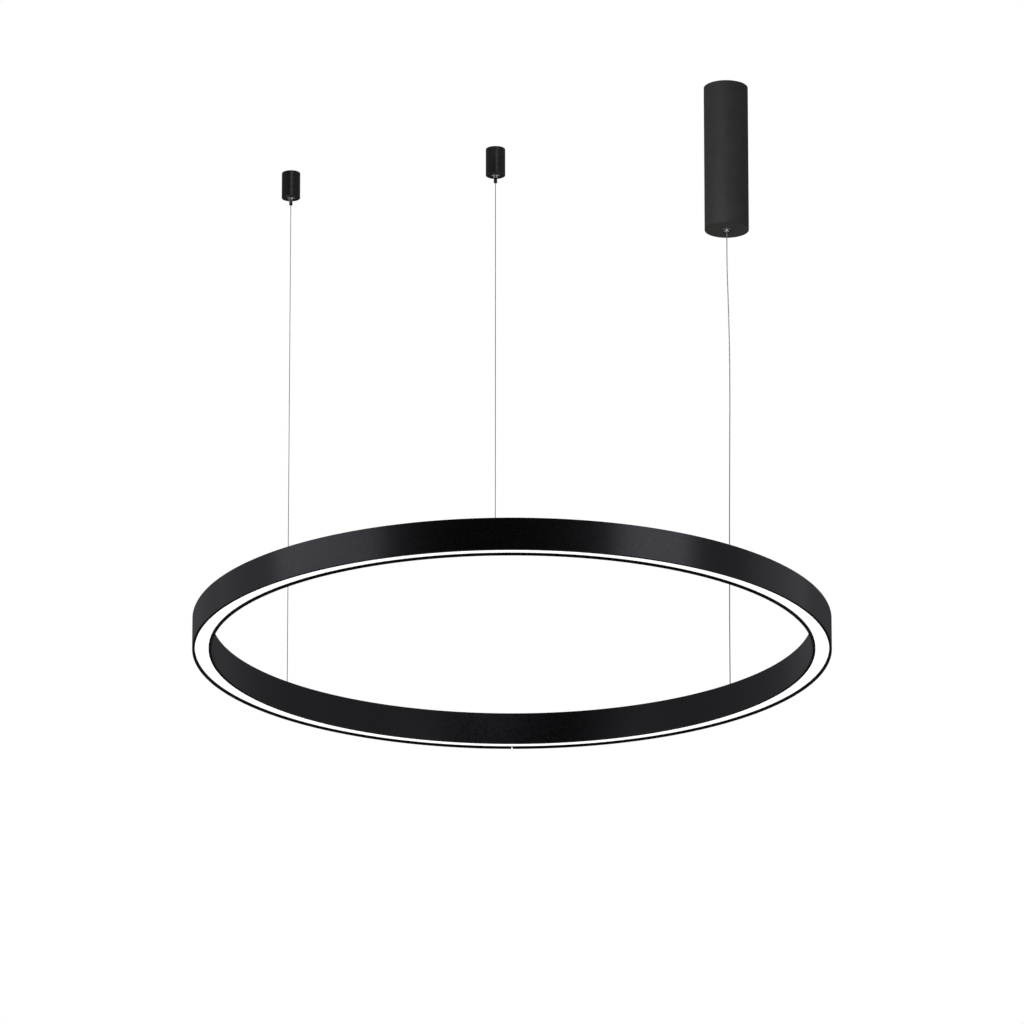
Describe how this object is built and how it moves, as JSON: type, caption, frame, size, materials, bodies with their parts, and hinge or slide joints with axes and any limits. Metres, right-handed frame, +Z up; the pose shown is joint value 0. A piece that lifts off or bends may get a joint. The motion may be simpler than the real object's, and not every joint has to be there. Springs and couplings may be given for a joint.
{
  "type": "ring pendant light",
  "caption": "Ring pendant ceiling light with a downward opal diffuser, hung by a power cable from a tall round driver canopy and by wires from small ceiling cups.",
  "frame": {"origin": "centre of the canopy's ceiling face", "axes": "+Z up into the ceiling, +Y away from the viewer of the picture, +X to the viewer's right"},
  "size_m": [0.9998, 1, 1.079],
  "materials": {
    "black_coat": "satin black powder coat on aluminium",
    "charcoal_coat": "fine matt charcoal powder coat on aluminium",
    "opal_diffuser": "opal acrylic, lit from behind",
    "wire_rope": "galvanised steel wire rope",
    "cable_sheath": "clear sheath over tinned braid",
    "nickel": "bright nickel plate",
    "zinc_steel": "zinc plated",
    "spring_steel": "drawn stainless",
    "brass": "turned",
    "case_plastic": "moulded white",
    "board_white": "white solder mask",
    "led_phosphor": "yellow phosphor",
    "lead_sheath": "insulated lead",
    "rubber": "matt",
    "button_black": "black anodised look"
  },
  "bodies": {
    "canopy_frame": {"canopy_ceiling_plate": "zinc_steel", "canopy_bracket": "zinc_steel", "canopy_bracket_screws": "zinc_steel", "earth_screw": "brass", "led_driver": "case_plastic", "driver_screws": "zinc_steel", "terminal_block": "case_plastic", "terminal_screws": "brass", "mains_leads": "lead_sheath", "output_lead": "cable_sheath", "canopy_gripper_body": "nickel", "canopy_gripper_nut": "zinc_steel", "canopy_gripper_cap": "nickel", "canopy_gripper_spring": "spring_steel"},
    "canopy_cover": {"canopy_tube": "charcoal_coat", "canopy_end_cap": "charcoal_coat", "canopy_bush": "nickel", "canopy_set_screws": "zinc_steel"},
    "canopy_plunger": {"canopy_plunger": "nickel", "canopy_gripper_balls": "spring_steel"},
    "ring": {"ring_housing_left": "black_coat", "ring_housing_right": "black_coat", "top_cover_left": "black_coat", "top_cover_right": "black_coat", "led_board_left": "board_white", "led_board_right": "board_white", "led_chips_left": "led_phosphor", "led_chips_right": "led_phosphor", "diffuser_left": "opal_diffuser", "diffuser_right": "opal_diffuser", "splice_plates": "zinc_steel", "splice_screws": "zinc_steel", "hanger_studs": "black_coat", "hanger_nuts": "zinc_steel", "wire_ferrules": "nickel", "ring_connector": "case_plastic", "ring_leads": "lead_sheath", "web_grommet": "rubber", "power_cable": "cable_sheath", "front_wire": "wire_rope", "left_wire": "wire_rope"},
    "front_cup": {"front_cup": "black_coat", "front_gripper_body": "nickel", "front_gripper_nut": "zinc_steel", "front_gripper_cap": "nickel", "front_gripper_spring": "spring_steel"},
    "front_base": {"front_base": "zinc_steel"},
    "front_plunger": {"front_plunger": "button_black", "front_gripper_balls": "spring_steel"},
    "left_cup": {"left_cup": "black_coat", "left_gripper_body": "nickel", "left_gripper_nut": "zinc_steel", "left_gripper_cap": "nickel", "left_gripper_spring": "spring_steel"},
    "left_base": {"left_base": "zinc_steel"},
    "left_plunger": {"left_plunger": "button_black", "left_gripper_balls": "spring_steel"}
  },
  "joints": [
    {"name": "ring_feed", "type": "slide", "parent": "canopy_frame", "child": "ring", "axis": [0, 0, 1], "range_m": [0, 0.528], "deforming": ["power_cable"]},
    {"name": "cover_slide", "type": "slide", "parent": "canopy_frame", "child": "canopy_cover", "axis": [0, 0, -1], "range_m": [0, 0.225]},
    {"name": "canopy_release", "type": "slide", "parent": "canopy_frame", "child": "canopy_plunger", "axis": [0, 0, 1], "range_m": [0, 0.002], "stiffness_N_per_m": 500, "springref_m": -0.002, "deforming": ["canopy_gripper_spring"]},
    {"name": "front_feed", "type": "slide", "parent": "ring", "child": "front_cup", "axis": [0, 0, -1], "range_m": [0, 0.105], "deforming": ["front_wire"]},
    {"name": "front_base_unscrew", "type": "slide", "parent": "front_cup", "child": "front_base", "axis": [0, 0, 1], "range_m": [0, 0.02]},
    {"name": "front_release", "type": "slide", "parent": "front_cup", "child": "front_plunger", "axis": [0, 0, 1], "range_m": [0, 0.002], "stiffness_N_per_m": 500, "springref_m": -0.002, "deforming": ["front_gripper_spring"]},
    {"name": "left_feed", "type": "slide", "parent": "ring", "child": "left_cup", "axis": [0, 0, -1], "range_m": [0, 0.375], "deforming": ["left_wire"]},
    {"name": "left_base_unscrew", "type": "slide", "parent": "left_cup", "child": "left_base", "axis": [0, 0, 1], "range_m": [0, 0.02]},
    {"name": "left_release", "type": "slide", "parent": "left_cup", "child": "left_plunger", "axis": [0, 0, 1], "range_m": [0, 0.002], "stiffness_N_per_m": 500, "springref_m": -0.002, "deforming": ["left_gripper_spring"]}
  ]
}
